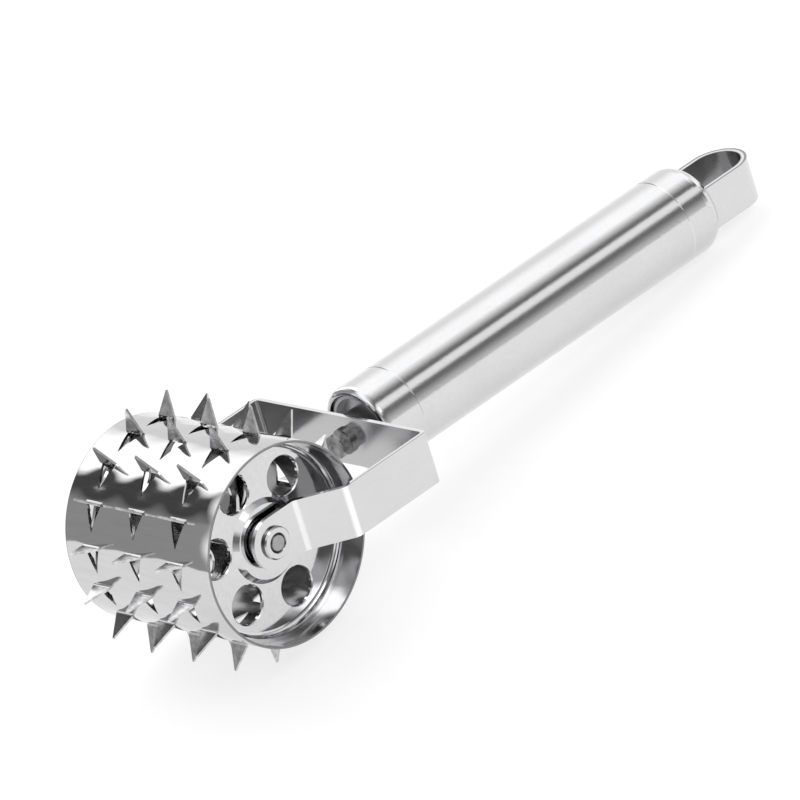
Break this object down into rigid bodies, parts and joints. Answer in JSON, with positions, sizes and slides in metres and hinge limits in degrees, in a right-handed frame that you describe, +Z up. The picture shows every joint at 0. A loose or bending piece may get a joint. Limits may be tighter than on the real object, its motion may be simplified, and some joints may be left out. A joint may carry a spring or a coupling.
{
  "type": "rolling meat tenderizer",
  "caption": "Hand roller with a punched spike drum turning in a strap yoke, on a tube handle with a hanging loop.",
  "frame": {"origin": "middle of the bounding box on the table that the tool lies on", "axes": "+X from the roller towards the hanging loop, Y along the roller's axle, +Z up from the table"},
  "size_m": [0.2174, 0.061, 0.0634],
  "materials": {
    "polished_steel": "mirror polished",
    "bright_strap": "bright rolled strip",
    "brushed_handle": "satin, brushed along the handle",
    "dark_bolt": "dark unpolished steel",
    "inner_steel": "turned, unpolished"
  },
  "bodies": {
    "frame": {"yoke_strap": "bright_strap", "axle": "polished_steel", "axle_collar_near": "polished_steel", "axle_collar_far": "polished_steel", "thrust_washer_near": "inner_steel", "thrust_washer_far": "inner_steel", "handle_bolt": "dark_bolt", "lock_washer": "dark_bolt", "handle_insert": "inner_steel", "front_ferrule": "brushed_handle", "handle_tube": "brushed_handle", "rear_plug": "inner_steel", "rear_cap": "brushed_handle", "hanging_loop": "brushed_handle"},
    "roller": {"drum_shell": "polished_steel", "end_cap_near": "polished_steel", "end_cap_far": "polished_steel", "hub_bush_near": "inner_steel", "hub_bush_far": "inner_steel"}
  },
  "joints": [
    {"name": "roller_spin", "type": "hinge", "parent": "frame", "child": "roller", "pos_m": [-0.07684, 0, 0.03155], "axis": [0, 1, 0], "continuous": true}
  ]
}
